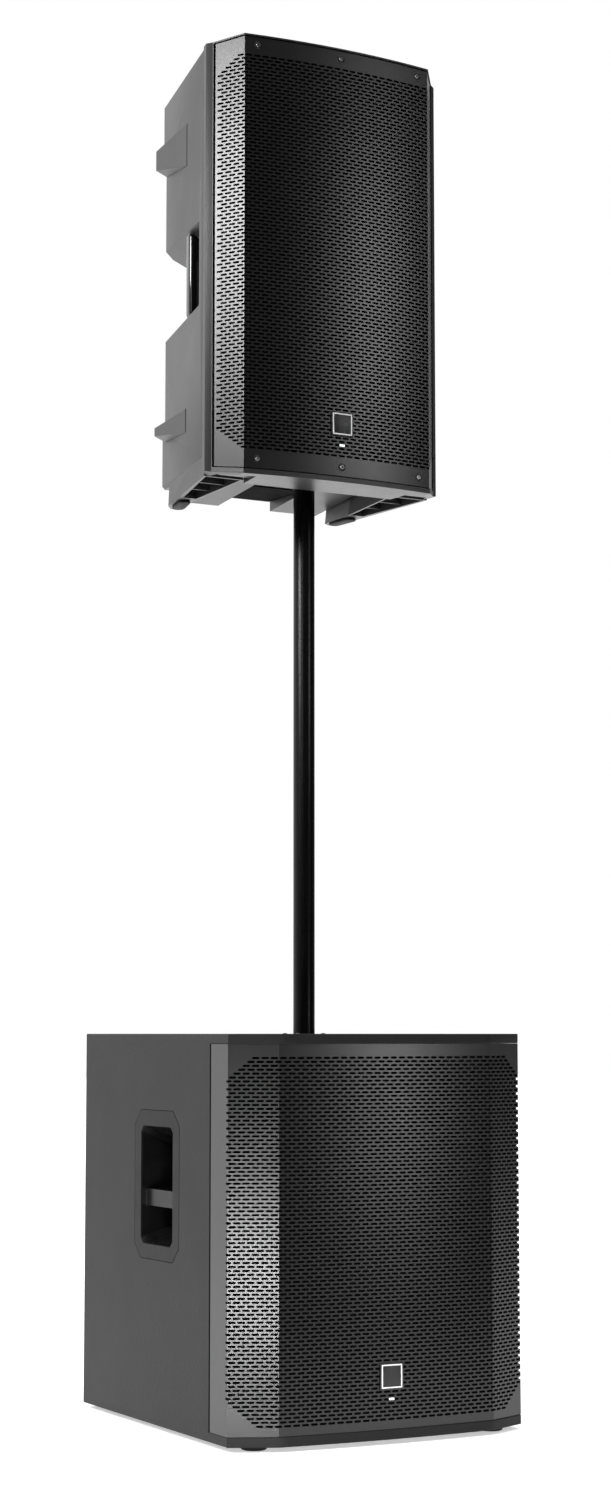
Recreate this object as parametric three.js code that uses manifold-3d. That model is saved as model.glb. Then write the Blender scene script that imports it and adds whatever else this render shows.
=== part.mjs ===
// A powered two-way loudspeaker standing on a pole, which stands in the top of a powered subwoofer.
// Millimetres, +Z up. The origin is on the floor, midway across and midway along the subwoofer,
// and the fronts of both cabinets face -Y. Right and left are the +X and -X sides.
import * as THREE from "three";
import { mergeVertices } from "three/addons/utils/BufferGeometryUtils.js";
import Module from "manifold-3d";

const wasm = await Module();
wasm.setup();

// ---- driving dimensions -------------------------------------------------------------------
const GAP = 0.3; // clearance between two pieces that touch

const SUB = {
  half: 255, // half the width over the boards
  rear: 291, // rear face
  facetRear: -249, // where the slanted front corner of a board begins
  cornerHalf: 185.5, // half the width of the bowed front edge
  cornerY: -282.5,
  apexY: -291, // middle of the bowed front edge
  foot: 7,
  height: 611, // floor to the top of the top board
  board: 15,
  sideFront: -186.5, // visible front edge of a side panel
  rebateFront: -225, // front edge of the side panel behind the grille return
  rebate: 2.4,
  baffleFront: -218.6,
  baffle: 18,
};
const SUB_WOOFER = { frame: 230, cutout: 212, basket: 150, magnet: 100, z: 309, flange: 7 };
const POLE = {
  radius: 17.5, bore: 17.9, cup: 27, y: -6.6, length: 899, seat: 80, tip: 15.8, tipLength: 70,
};

// The upper cabinet's own frame: x and y are measured from the pole's axis, z from the rim's bottom.
const CAB = {
  rise: 883.5, // rim bottom above the subwoofer
  height: 723.7,
  seamY: -50, // joint between the front and rear mouldings
  rimY: -66, // widest section
  rimHalf: 214.5,
  rimInnerHalf: 205.5,
  rimInnerY: -72.5,
  facetHalf: 203.5,
  facetY: -75.5,
  cornerHalf: 170.5,
  cornerY: -118.7,
  apexY: -131.2,
  rearY: 224,
  taper: 0.2037, // side panel's slope in plan, mm per mm
  top: 716.5, // top of the rear moulding, and of the rim at its widest
  sideBottom: 9.5, // bottom of the rim at its widest
  underFront: 29, // underside at the seam
  underRear: 39, // underside at the rear face
  wall: 6,
  baffleFront: -70,
  lipBottom: 8, // thickness of the lip below the grille
  lipTop: 2.7, // thickness of the lip above the grille
};
const CAB_WOOFER = { frame: 190, cutout: 176, basket: 118, magnet: 82, z: 240, flange: 7 };
const HORN = { z: 585, halfWidth: 160, halfHeight: 112, depth: 118, throat: 22, wall: 4 };
const SHEET = 1.4; // steel of the grilles
const BADGE = 40; // side of a badge plate

const SUB_AMP = { halfWidth: 150, low: 190, high: 430, recess: 18, chassis: 66 };
const CAB_AMP = { halfWidth: 84, low: 92, high: 452, recess: 17, chassis: 54 };

// ---- solids --------------------------------------------------------------------------------
function toSolid(geometry) {
  const bare = geometry.clone();
  bare.deleteAttribute("normal");
  bare.deleteAttribute("uv");
  const merged = mergeVertices(bare, 1e-4);
  return new wasm.Manifold(
    new wasm.Mesh({
      numProp: 3,
      vertProperties: new Float32Array(merged.attributes.position.array),
      triVerts: new Uint32Array(merged.index.array),
    }),
  );
}

function toGeometry(solid) {
  const mesh = solid.getMesh();
  const geometry = new THREE.BufferGeometry();
  geometry.setAttribute("position", new THREE.BufferAttribute(mesh.vertProperties, 3));
  geometry.setIndex(new THREE.BufferAttribute(mesh.triVerts, 1));
  const flat = geometry.toNonIndexed();
  flat.computeVertexNormals();
  return flat;
}

const join = (first, ...rest) => rest.reduce((sum, next) => sum.add(next), first);
const cut = (first, ...rest) => rest.reduce((left, next) => left.subtract(next), first);

// A box from one corner to the other.
function box(x0, x1, y0, y1, z0, z1) {
  const geometry = new THREE.BoxGeometry(x1 - x0, y1 - y0, z1 - z0);
  geometry.translate((x0 + x1) / 2, (y0 + y1) / 2, (z0 + z1) / 2);
  return toSolid(geometry);
}

// An outline in plan, raised from z0 to z1.
function prism(points, z0, z1) {
  const shape = new THREE.Shape(points.map(([x, y]) => new THREE.Vector2(x, y)));
  const geometry = new THREE.ExtrudeGeometry(shape, { depth: z1 - z0, bevelEnabled: false });
  geometry.translate(0, 0, z0);
  return toSolid(geometry);
}

// An outline of [x, z] points seen from the front, running from y0 back to y1.
function frontPrism(points, y0, y1) {
  const shape = new THREE.Shape(points.map(([x, z]) => new THREE.Vector2(x, z)));
  const geometry = new THREE.ExtrudeGeometry(shape, { depth: y1 - y0, bevelEnabled: false });
  geometry.rotateX(Math.PI / 2);
  geometry.translate(0, y1, 0);
  return toSolid(geometry);
}

// A turned body: profile points are [radius, height] and the axis is Z.
function turned(profile, segments) {
  const points = profile.map(([r, h]) => new THREE.Vector2(r, h));
  const geometry = new THREE.LatheGeometry(points, segments);
  geometry.rotateX(Math.PI / 2);
  const solid = toSolid(geometry);
  return solid.volume() < 0 ? toSolid(flipped(geometry)) : solid;
}

function flipped(geometry) {
  const turnedRound = geometry.clone();
  const index = turnedRound.index.array;
  for (let i = 0; i < index.length; i += 3) {
    [index[i + 1], index[i + 2]] = [index[i + 2], index[i + 1]];
  }
  return turnedRound;
}

// The same body turned to lie along Y, its heights measured towards the front.
function turnedForward(profile, segments, x, y, z) {
  return turned(profile, segments).rotate([90, 0, 0]).translate([x, y, z]);
}

function disc(radius, y0, y1, x, z, segments = 48) {
  const profile = [[0, 0], [radius, 0], [radius, y1 - y0], [0, y1 - y0]];
  return turnedForward(profile, segments, x, y1, z);
}

function post(radius, z0, z1, x, y, segments = 32) {
  return turned([[0, z0], [radius, z0], [radius, z1], [0, z1]], segments).translate([x, y, 0]);
}

// A closed body between two convex outlines that have the same number of [x, y, z] points.
function loft(lower, upper) {
  const count = lower.length;
  const positions = [...lower, ...upper].flat();
  const index = [];
  for (let i = 0; i < count; i += 1) {
    const j = (i + 1) % count;
    index.push(i, j, count + j, i, count + j, count + i);
  }
  for (let i = 1; i < count - 1; i += 1) {
    index.push(0, i + 1, i, count, count + i, count + i + 1);
  }
  const geometry = new THREE.BufferGeometry();
  geometry.setAttribute("position", new THREE.Float32BufferAttribute(positions, 3));
  geometry.setIndex(index);
  const solid = toSolid(geometry);
  return solid.volume() < 0 ? toSolid(flipped(geometry)) : solid;
}

const mirrored = (solid) => solid.mirror([1, 0, 0]);

// Points of a shallow arc through (-half, yEnd), (0, yMiddle) and (half, yEnd), left to right.
function bow(half, yEnd, yMiddle, steps) {
  const points = [];
  for (let i = 0; i <= steps; i += 1) {
    const t = (2 * i) / steps - 1;
    points.push([half * t, yMiddle + (yEnd - yMiddle) * t * t]);
  }
  return points;
}

// A rectangle with its corners cut off, as [a, b] points.
function chamfered(a0, a1, b0, b1, c) {
  return [
    [a0 + c, b0], [a1 - c, b0], [a1, b0 + c], [a1, b1 - c],
    [a1 - c, b1], [a0 + c, b1], [a0, b1 - c], [a0, b0 + c],
  ];
}

// ---- materials and nodes -------------------------------------------------------------------
const finish = (color, roughness, metalness) => ({ color, roughness, metalness });
const FINISH = {
  wood: finish(0x2b2b2c, 0.8, 0),
  moulding: finish(0x303031, 0.65, 0),
  steel: finish(0x1c1c1d, 0.5, 0.6),
  plastic: finish(0x161616, 0.5, 0),
  rubber: finish(0x101010, 0.9, 0),
  cone: finish(0x1a1a1a, 0.85, 0),
  magnet: finish(0x3a3a3c, 0.5, 0.7),
  plate: finish(0x202021, 0.45, 0.6),
  badge: finish(0x0c0c0c, 0.35, 0),
  lens: finish(0xe8eef5, 0.3, 0),
};

function node(group, name, solid, kind) {
  const mesh = new THREE.Mesh(toGeometry(solid), new THREE.MeshStandardMaterial(FINISH[kind]));
  mesh.name = name;
  group.add(mesh);
}

// ---- subwoofer -----------------------------------------------------------------------------
const SUB_INSIDE = SUB.half - SUB.board;
const SUB_TOP_UNDER = SUB.height - SUB.board;
const SUB_FLOOR = SUB.foot + SUB.board;

// Plan outline of a board, drawn in from its edges by the given amount.
function subPlan(inset) {
  const front = bow(SUB.cornerHalf, SUB.cornerY + inset, SUB.apexY + inset, 10);
  const half = SUB.half - inset * 0.4;
  return [[-half, SUB.rear], [-half, SUB.facetRear + inset], ...front,
    [half, SUB.facetRear + inset], [half, SUB.rear]];
}

function subBoards(group) {
  const socketHole = post(POLE.bore + 4.6, 0, SUB.height + 1, 0, POLE.y, 28);
  const top = cut(prism(subPlan(0), SUB_TOP_UNDER, SUB.height), socketHole);
  const flangeSeat = post(45.6, SUB.height - 3 - GAP, SUB.height + 1, 0, POLE.y, 28);
  node(group, "sub_top_board", cut(top, flangeSeat), "wood");
  node(group, "sub_bottom_board", prism(subPlan(0), SUB.foot, SUB_FLOOR), "wood");
}

// Side handle: an octagonal plate set into the panel, a funnel-shaped cup and a crossbar.
const HANDLE = {
  yFront: -77.6, yRear: 87.4, low: 260, high: 491, corner: 23, plate: 5,
  openFront: -54.6, openRear: 64.4, openLow: 282, openHigh: 467, openCorner: 9,
  depth: 72, wall: 3, barLow: 341, barHigh: 367, barIn: 10, barThick: 20,
};

// Octagon in a side panel's plane at the given x.
function sideOctagon(x, y0, y1, z0, z1, corner) {
  return chamfered(y0, y1, z0, z1, corner).map(([y, z]) => [x, y, z]);
}

function handleCup(grow) {
  const h = HANDLE;
  const outer = SUB.half + 1;
  const inner = SUB.half - h.depth - grow;
  const wide = sideOctagon(outer, h.openFront - grow, h.openRear + grow, h.openLow - grow,
    h.openHigh + grow, h.openCorner);
  const narrow = sideOctagon(inner, h.openFront + 16 - grow, h.openRear,
    h.openLow + 22 - grow, h.openHigh - 30 + grow, h.openCorner);
  return loft(wide, narrow);
}

function subHandle() {
  const h = HANDLE;
  const plate = loft(
    sideOctagon(SUB.half - h.plate, h.yFront, h.yRear, h.low, h.high, h.corner),
    sideOctagon(SUB.half, h.yFront, h.yRear, h.low, h.high, h.corner),
  );
  const limit = box(0, SUB.half - h.plate + 0.5, -200, 200, 100, 600);
  const cup = handleCup(h.wall).intersect(limit);
  const bar = box(SUB.half - h.barIn - h.barThick, SUB.half - h.barIn,
    h.openFront - 1, h.openRear + 1, h.barLow, h.barHigh);
  return join(cut(join(plate, cup), handleCup(0)), bar);
}

function subSide() {
  const plan = [
    [SUB_INSIDE, SUB.rebateFront], [SUB.half - SUB.rebate, SUB.rebateFront],
    [SUB.half - SUB.rebate, SUB.sideFront], [SUB.half, SUB.sideFront],
    [SUB.half, SUB.rear], [SUB_INSIDE, SUB.rear],
  ];
  const h = HANDLE;
  const panel = prism(plan, SUB_FLOOR + GAP, SUB_TOP_UNDER - GAP);
  const seat = loft(
    sideOctagon(SUB.half - h.plate - GAP, h.yFront - GAP, h.yRear + GAP, h.low - GAP,
      h.high + GAP, h.corner),
    sideOctagon(SUB.half + 1, h.yFront - GAP, h.yRear + GAP, h.low - GAP, h.high + GAP, h.corner),
  );
  const g = h.wall + 1.5;
  const [hole, holeOuter] = [SUB_INSIDE - 10, SUB.half + 1].map((x) =>
    sideOctagon(x, h.openFront - g, h.openRear + g, h.openLow - g, h.openHigh + g, h.openCorner));
  return cut(panel, seat, loft(hole, holeOuter));
}

function subSides(group) {
  const sides = [["right", (s) => s], ["left", mirrored]];
  for (const [side, place] of sides) {
    node(group, `sub_side_${side}`, place(subSide()), "wood");
    node(group, `sub_handle_${side}`, place(subHandle()), "moulding");
  }
}

function subRearAndBaffle(group) {
  const a = SUB_AMP;
  const wide = SUB_INSIDE - GAP;
  const rear = box(-wide, wide, SUB.rear - SUB.board, SUB.rear, SUB_FLOOR + GAP,
    SUB_TOP_UNDER - GAP);
  const window = box(-a.halfWidth, a.halfWidth, SUB.rear - 30, SUB.rear + 1, a.low, a.high);
  node(group, "sub_rear_board", cut(rear, window), "wood");

  const back = SUB.baffleFront + SUB.baffle;
  let baffle = box(-wide, wide, SUB.baffleFront, back, SUB_FLOOR + GAP, SUB_TOP_UNDER - GAP);
  baffle = cut(baffle, disc(SUB_WOOFER.cutout, SUB.baffleFront - 1, back + 1, 0, SUB_WOOFER.z, 40));
  for (const x of [-1, 1]) {
    for (const z of [-1, 1]) {
      const port = disc(34, SUB.baffleFront - 1, back + 1, x * 195, SUB_WOOFER.z + z * 236, 28);
      baffle = cut(baffle, port);
    }
  }
  node(group, "sub_baffle", baffle, "wood");
}

// The wrap-round grille: smooth side returns, slanted facets and a bowed front.
function subGrille(group) {
  const inset = 3;
  const outer = [
    [-SUB.half, SUB.sideFront - GAP], [-SUB.half, SUB.facetRear + 1.2],
    ...bow(SUB.cornerHalf, SUB.cornerY + inset, SUB.apexY + inset, 10),
    [SUB.half, SUB.facetRear + 1.2], [SUB.half, SUB.sideFront - GAP],
  ];
  const t = SHEET;
  const inner = [
    [SUB.half - t, SUB.sideFront - GAP], [SUB.half - t, SUB.facetRear + 1.2 + t * 0.6],
    ...bow(SUB.cornerHalf - t * 0.2, SUB.cornerY + inset + t, SUB.apexY + inset + t, 10).reverse(),
    [-SUB.half + t, SUB.facetRear + 1.2 + t * 0.6], [-SUB.half + t, SUB.sideFront - GAP],
  ];
  const sheet = prism([...outer, ...inner], SUB_FLOOR + GAP, SUB_TOP_UNDER - GAP);
  node(group, "sub_grille", sheet, "steel");
}

function subPoleSocket(group) {
  const wall = POLE.bore + 4;
  const top = SUB.height;
  const bottom = top - POLE.seat - 6;
  const profile = [
    [0, bottom], [wall, bottom], [wall, top - 3], [45, top - 3], [45, top],
    [POLE.bore, top], [POLE.bore, top - POLE.seat], [0, top - POLE.seat],
  ];
  node(group, "sub_pole_socket", turned(profile, 28).translate([0, POLE.y, 0]), "plate");
}

function subFeet(group) {
  const places = { front_left: [-205, -237], front_right: [205, -237], rear_left: [-205, 240],
    rear_right: [205, 240] };
  for (const [name, [x, y]] of Object.entries(places)) {
    const profile = [[0, 0], [18, 0], [19.5, 2], [19.5, SUB.foot - GAP], [0, SUB.foot - GAP]];
    node(group, `sub_foot_${name}`, turned(profile, 28).translate([x, y, 0]), "rubber");
  }
}

// A cone loudspeaker in a baffle whose front face is at y: frame, magnet, moving cone, surround.
function woofer(group, prefix, w, y, depth, segments) {
  const rimOuter = w.cutout - 22;
  const coneOuter = rimOuter - 24;
  const ledge = 4; // thickness of the ring that carries the surround
  const front = w.flange; // heights are measured forward of the baffle's face
  const basket = [
    [w.frame, GAP], [w.frame, front], [rimOuter, front], [rimOuter, ledge - 9],
    [w.basket * 0.62, -depth + 8], [w.basket * 0.42, -depth + 8], [w.basket * 0.42, -depth],
    [w.basket * 0.8, -depth], [w.cutout - 3, ledge - 12], [w.cutout - 3, GAP],
  ];
  node(group, `${prefix}_woofer_basket`,
    turnedForward([...basket, basket[0]], segments, 0, y, w.z), "plate");

  const magnetTop = -depth - GAP;
  const magnet = [[0, magnetTop], [w.magnet, magnetTop], [w.magnet, magnetTop - 42],
    [w.magnet * 0.7, magnetTop - 52], [0, magnetTop - 52]];
  node(group, `${prefix}_woofer_magnet`,
    turnedForward(magnet, segments, 0, y, w.z), "magnet");

  const coil = w.basket * 0.34;
  const cone = [
    [0, -depth * 0.42], [coil * 0.7, -depth * 0.47], [coil + 6, -depth * 0.62],
    [coneOuter, front - 4], [coneOuter, front - 8], [coil, -depth * 0.62 - 8],
    [coil, -depth + 10], [coil - 2, -depth + 10], [coil - 2, -depth * 0.62 - 2], [0, -depth * 0.5],
  ];
  node(group, `${prefix}_woofer_cone`, turnedForward(cone, segments, 0, y, w.z), "cone");

  const near = coneOuter + GAP;
  const far = rimOuter - GAP;
  const half = (far - near) / 2;
  const roll = [];
  const steps = 4;
  for (let i = 0; i <= steps; i += 1) {
    const angle = Math.PI * (i / steps);
    roll.push([near + half - half * Math.cos(angle), front - 7 + half * 0.75 * Math.sin(angle)]);
  }
  const under = roll.map(([r, h]) => [r, h - 2]).reverse();
  node(group, `${prefix}_woofer_surround`,
    turnedForward([...roll, ...under, roll[0]], segments, 0, y, w.z), "rubber");
}

// Sockets of an amplifier panel, placed by their middles on the panel's outer face.
function mainsInlet(x, y, z) {
  const flange = box(x - 25, x + 25, y, y + 2.5, z - 14, z + 14);
  const shell = box(x - 14.5, x + 14.5, y - 18, y + 1, z - 11, z + 11);
  const recess = frontPrism(chamfered(x - 12.2, x + 12.2, z - 8.6, z + 8.6, 3), y - 16, y + 4);
  let body = cut(join(flange, shell), recess);
  for (const [dx, dz] of [[-7, -3], [0, -2], [7, -3]]) {
    body = join(body, box(x + dx - 1, x + dx + 1, y - 17, y - 3, z + dz - 2, z + dz + 2));
  }
  return body;
}

function signalSocket(x, y, z) {
  const flange = frontPrism(chamfered(x - 13, x + 13, z - 15.5, z + 15.5, 2), y, y + 2.5);
  const shell = disc(12, y - 20, y + 1, x, z, 20);
  const recess = disc(10.2, y - 17, y + 4, x, z, 20);
  return cut(join(flange, shell), recess);
}

// A ribbed turning knob, its axis along Y, standing on a panel's outer face.
function knob(radius, height, x, y, z) {
  const profile = [[0, 0], [radius, 0], [radius * 0.88, height - 1], [radius * 0.8, height],
    [0, height]];
  const body = turned(profile, 24).rotate([-90, 0, 0]).translate([x, y, z]);
  const pointer = box(x - 0.8, x + 0.8, y + height - 2, y + height + 0.6, z + 1, z + radius * 0.7);
  return join(body, pointer);
}

// A see-saw switch lever that pivots about X in a cut-out of its panel.
const SWITCH = { halfWidth: 6, halfHeight: 10.5, depth: 12 };
function switchLever(x, y, z) {
  const s = SWITCH;
  const outline = [[y - s.depth, z - 4], [y - s.depth, z + 4], [y - 1, z + s.halfHeight - 1],
    [y + 2, z + s.halfHeight - 2], [y + 0.4, z], [y + 3.2, z - s.halfHeight + 2],
    [y - 1, z - s.halfHeight + 1]];
  const left = outline.map(([py, pz]) => [x - s.halfWidth, py, pz]);
  const right = outline.map(([py, pz]) => [x + s.halfWidth, py, pz]);
  const upper = [0, 1, 2, 3, 4];
  const lower = [0, 4, 5, 6];
  const half = (ids) => loft(ids.map((i) => left[i]), ids.map((i) => right[i]));
  return join(half(upper), half(lower));
}

// An amplifier module: a dished plate with its cut-outs, the chassis behind it and the controls.
// The rim of the dish reaches the cabinet's rear face at y.
function amplifier(group, prefix, a, y, places) {
  const thick = 4;
  const edge = a.halfWidth - GAP;
  const face = y - a.recess;
  let plate = cut(
    box(-edge, edge, face - thick, y, a.low + GAP, a.high - GAP),
    box(-edge + 5, edge - 5, face, y + 1, a.low + 5, a.high - 5),
  );
  const [inletX, inletZ] = places.inlet;
  plate = cut(plate, box(inletX - 15, inletX + 15, face - 9, face + 1, inletZ - 11.5, inletZ + 11.5));
  for (const [x, z] of places.sockets) {
    plate = cut(plate, disc(12.8, face - 9, face + 1, x, z, 20));
  }
  const [switchX, switchZ] = places.power;
  const s = SWITCH;
  plate = cut(plate, box(switchX - s.halfWidth - 0.6, switchX + s.halfWidth + 0.6, face - 9, face + 1,
    switchZ - s.halfHeight - 0.6, switchZ + s.halfHeight + 0.6));
  const finCount = 9;
  const finRun = edge * 1.5;
  for (let i = 0; i < finCount; i += 1) {
    const x = -finRun / 2 + (finRun * i) / (finCount - 1);
    plate = join(plate, box(x - 1.5, x + 1.5, face - 1, face + 8, places.fins[0], places.fins[1]));
  }
  node(group, `${prefix}_amp_panel`, plate, "plate");

  const behind = face - thick - GAP;
  const rear = behind - 22; // leaves room for the bodies of the sockets
  const chassis = box(-edge + 12, edge - 12, rear - a.chassis, rear, a.low + 14, a.high - 14);
  node(group, `${prefix}_amp_chassis`, chassis, "plate");

  const lift = face + GAP;
  node(group, `${prefix}_mains_inlet`, mainsInlet(inletX, lift, inletZ), "plastic");
  places.sockets.forEach(([x, z], i) => {
    node(group, `${prefix}_signal_socket_${i + 1}`, signalSocket(x, lift, z), "plastic");
  });
  node(group, `${prefix}_power_switch`, switchLever(switchX, face, switchZ), "plastic");
  const [knobX, knobZ] = places.knob;
  node(group, `${prefix}_level_knob`, knob(11, 15, knobX, face + GAP, knobZ), "plastic");
}

// A square badge plate with a raised border, and a small status light below it.
function badgeAndLight(group, prefix, y, z, lightZ) {
  const plate = box(-BADGE / 2, BADGE / 2, y - 1.8, y, z - BADGE / 2, z + BADGE / 2);
  const border = cut(
    box(-17.5, 17.5, y - 2.4, y - 1.5, z - 17.5, z + 17.5),
    box(-15.2, 15.2, y - 4, y - 1, z - 15.2, z + 15.2),
  );
  node(group, `${prefix}_badge`, join(plate, border), "badge");
  node(group, `${prefix}_status_light`, box(-4, 4, y - 1.6, y, lightZ - 1.5, lightZ + 1.5), "lens");
}

function subwoofer() {
  const group = new THREE.Group();
  subBoards(group);
  subSides(group);
  subRearAndBaffle(group);
  subGrille(group);
  subPoleSocket(group);
  subFeet(group);
  woofer(group, "sub", SUB_WOOFER, SUB.baffleFront, 118, 40);
  amplifier(group, "sub", SUB_AMP, SUB.rear, {
    inlet: [-100, 222], power: [-55, 222], knob: [95, 392], sockets: [[20, 392], [-30, 392]],
    fins: [250, 350],
  });
  badgeAndLight(group, "sub", SUB.apexY + 3 - GAP, 100, 66.5);
  return group;
}

// ---- pole ----------------------------------------------------------------------------------
function pole() {
  const group = new THREE.Group();
  const inSocket = POLE.seat - GAP;
  const tube = turned([
    [13.5, -inSocket], [POLE.radius, -inSocket], [POLE.radius, POLE.length],
    [13.5, POLE.length], [13.5, -inSocket],
  ], 28);
  node(group, "pole_tube", tube, "steel");
  const plug = [
    [0, POLE.length - 30], [13.2, POLE.length - 30], [13.2, POLE.length + GAP],
    [POLE.tip, POLE.length + GAP], [POLE.tip, POLE.length + POLE.tipLength - 4],
    [POLE.tip - 4, POLE.length + POLE.tipLength], [0, POLE.length + POLE.tipLength],
  ];
  node(group, "pole_top_plug", turned(plug, 28), "plastic");
  group.position.set(0, POLE.y, SUB.height);
  return group;
}

// ---- upper cabinet -------------------------------------------------------------------------
const sideHalf = (y) => CAB.rimHalf - (y - CAB.rimY) * CAB.taper;
const underside = (y) =>
  CAB.underFront + ((CAB.underRear - CAB.underFront) * (y - CAB.seamY)) / (CAB.rearY - CAB.seamY);

// Front outline of the rim, drawn in by the given lips at its bottom and top. Its top and bottom
// edges fall away over the slanted facets.
function rimOutline(lipBottom, lipTop) {
  const c = CAB.cornerHalf;
  const wide = CAB.rimHalf;
  const [low, high] = [CAB.sideBottom + lipBottom, CAB.top - lipTop];
  const [bottom, top] = [lipBottom, CAB.height - lipTop];
  return [[-c, bottom], [c, bottom], [wide, low], [wide, high], [c, top], [-c, top],
    [-wide, high], [-wide, low]];
}

function cabinetFront(group) {
  const plan = [
    [sideHalf(CAB.seamY), CAB.seamY], [-sideHalf(CAB.seamY), CAB.seamY],
    [-CAB.rimHalf, CAB.rimY], [-CAB.rimInnerHalf, CAB.rimInnerY],
    ...bow(CAB.cornerHalf + 1, CAB.cornerY - 1.5, CAB.apexY - 1.5, 10),
    [CAB.rimInnerHalf, CAB.rimInnerY], [CAB.rimHalf, CAB.rimY],
  ];
  const block = prism(plan, 0, CAB.height).intersect(frontPrism(rimOutline(0, 0), -200, 0));
  const pocketHalf = CAB.rimInnerHalf - 0.8;
  const pocket = frontPrism(rimOutline(CAB.lipBottom, CAB.lipTop), -200, CAB.baffleFront)
    .intersect(box(-pocketHalf, pocketHalf, -200, 0, 0, CAB.height));
  const behind = CAB.seamY + 1;
  let shell = cut(block, pocket);
  shell = cut(shell, disc(CAB_WOOFER.cutout, -200, behind, 0, CAB_WOOFER.z, 36));
  const h = HORN;
  shell = cut(shell, frontPrism(
    chamfered(-h.halfWidth + 8, h.halfWidth - 8, h.z - h.halfHeight + 8, h.z + h.halfHeight - 8, 14),
    -200, behind,
  ));
  for (const x of [-1, 1]) {
    shell = cut(shell, disc(24, -200, behind, x * 165, 62, 24));
  }
  const recess = prism([[199, -45], [194, -72], [172, -102], [142, -106], [136, -45]], -1, 13);
  const shallow = recess.intersect(join(box(0, 300, -200, CAB.baffleFront, -2, 4.5),
    box(0, 300, CAB.baffleFront - 1, 0, -2, 20)));
  node(group, "cabinet_front_shell", cut(shell, shallow, mirrored(shallow)), "moulding");
}

// The recess beside a side panel in which the hand grip stands, open to the side and the rear.
const NOTCH = {
  front: -26, beyond: 254, outward: 60, low: 292,
  // Heights of the sloping ceiling at its inner and outer edges, in front and beyond the rear.
  innerHigh: [406, 430], outerHigh: [460, 478],
  innerFront: 150, innerSlope: 0.204, gripFront: 38, gripRear: 66, gripThick: 22,
};
const notchInner = (y) => NOTCH.innerFront - NOTCH.innerSlope * (y - NOTCH.front);
const notchOuter = (y) => sideHalf(y) + NOTCH.outward;

// Height of the recess's ceiling at a point of its plan.
function notchCeiling(x, y) {
  const n = NOTCH;
  const back = (y - n.front) / (n.beyond - n.front);
  const out = (x - notchInner(y)) / (notchOuter(y) - notchInner(y));
  const inner = n.innerHigh[0] + (n.innerHigh[1] - n.innerHigh[0]) * back;
  const outer = n.outerHigh[0] + (n.outerHigh[1] - n.outerHigh[0]) * back;
  return inner + (outer - inner) * out;
}

function notch(grow) {
  const n = NOTCH;
  const ends = [n.front, n.beyond];
  const edge = (reach, heights, shift) => {
    const [x0, x1] = ends.map((y) => reach(y) - shift);
    return [
      [x0, n.front - grow, n.low - grow], [x1, n.beyond, n.low - grow],
      [x1, n.beyond, heights[1] + grow], [x0, n.front - grow, heights[0] + grow],
    ];
  };
  return loft(edge(notchInner, n.innerHigh, grow), edge(notchOuter, n.outerHigh, 0));
}

// The bevel that takes the rear corner off between the bumpers.
function cornerBevel() {
  const [low, high] = [135, 600];
  const face = CAB.rearY;
  const outer = sideHalf(204);
  const flat = [[outer + 2, 204], [outer + 30, 204], [outer + 30, face + 20],
    [outer - 22, face + 20], [outer - 22, face]];
  return prism(flat, low, high);
}

// Section of the rear moulding at y, as [x, y, z] points with small bevels on its long edges.
function section(y, inset, bevel) {
  const half = sideHalf(y) - inset;
  return chamfered(-half, half, underside(y) + inset, CAB.top - inset, bevel)
    .map(([x, z]) => [x, y, z]);
}

// A foot rail below the underside: wide at the front, narrow at the rear.
const RAIL = { frontZ: 5.5, rearZ: 0.5, rootZ: 60 };
const RAIL_PLAN = [[207, -49], [136, -49], [143, 108], [140, 188], [152, 196], [166, 176]];
const RAIL_HOLLOW = [[202, -45], [140, -45], [147, 107], [171, 105]];
const railBottom = (y) => RAIL.frontZ + ((RAIL.rearZ - RAIL.frontZ) * (y + 50)) / 240;

function rail() {
  const rim = RAIL_PLAN.map(([x, y]) => [x, y, railBottom(y)]);
  const root = RAIL_PLAN.map(([x, y]) => [Math.min(x + 6, sideHalf(y) - 2), y, RAIL.rootZ]);
  const hollow = prism(RAIL_HOLLOW, -20, 24);
  let body = cut(loft(rim, root), hollow);
  for (const y of [10, 62]) {
    body = join(body, box(140, 205, y, y + 3, 8, 26).intersect(prism(RAIL_HOLLOW, 0, 40)));
  }
  return body;
}

// A pad on each side of the underside, sinking towards the rear, with a channel between the two.
const REAR_PAD = { inner: 50, outer: 140, front: 60, rear: 223, lowest: 21 };

function rearPad() {
  const p = REAR_PAD;
  const side = (x) => [[x, p.front, underside(p.front)], [x, p.rear, p.lowest],
    [x, p.rear, CAB.underRear + 2], [x, p.front, underside(p.front) + 2]];
  return loft(side(p.inner), side(p.outer));
}

function cabinetRear(group) {
  const c = CAB;
  const front = c.seamY + GAP;
  const outer = loft(section(front, 0, 5), section(c.rearY, 0, 5));
  const inner = loft(section(front - 1, c.wall, 3), section(c.rearY - c.wall, c.wall, 3));
  let shell = join(outer, rail(), mirrored(rail()), rearPad(), mirrored(rearPad()));
  shell = cut(shell, notch(0), mirrored(notch(0)), cornerBevel(), mirrored(cornerBevel()));
  let hollow = cut(inner, notch(c.wall), mirrored(notch(c.wall)));
  const bevelLiner = prism([[100, 190], [230, 190], [230, 240], [100, 240]], 129, 606);
  hollow = cut(hollow, bevelLiner, mirrored(bevelLiner));
  shell = cut(shell, hollow);
  const a = CAB_AMP;
  shell = cut(shell, box(-a.halfWidth, a.halfWidth, c.rearY - 40, c.rearY + 1, a.low, a.high));
  shell = cut(shell, post(POLE.cup + GAP, 0, 60, 0, 0, 28));
  node(group, "cabinet_rear_shell", shell, "moulding");
}

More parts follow.
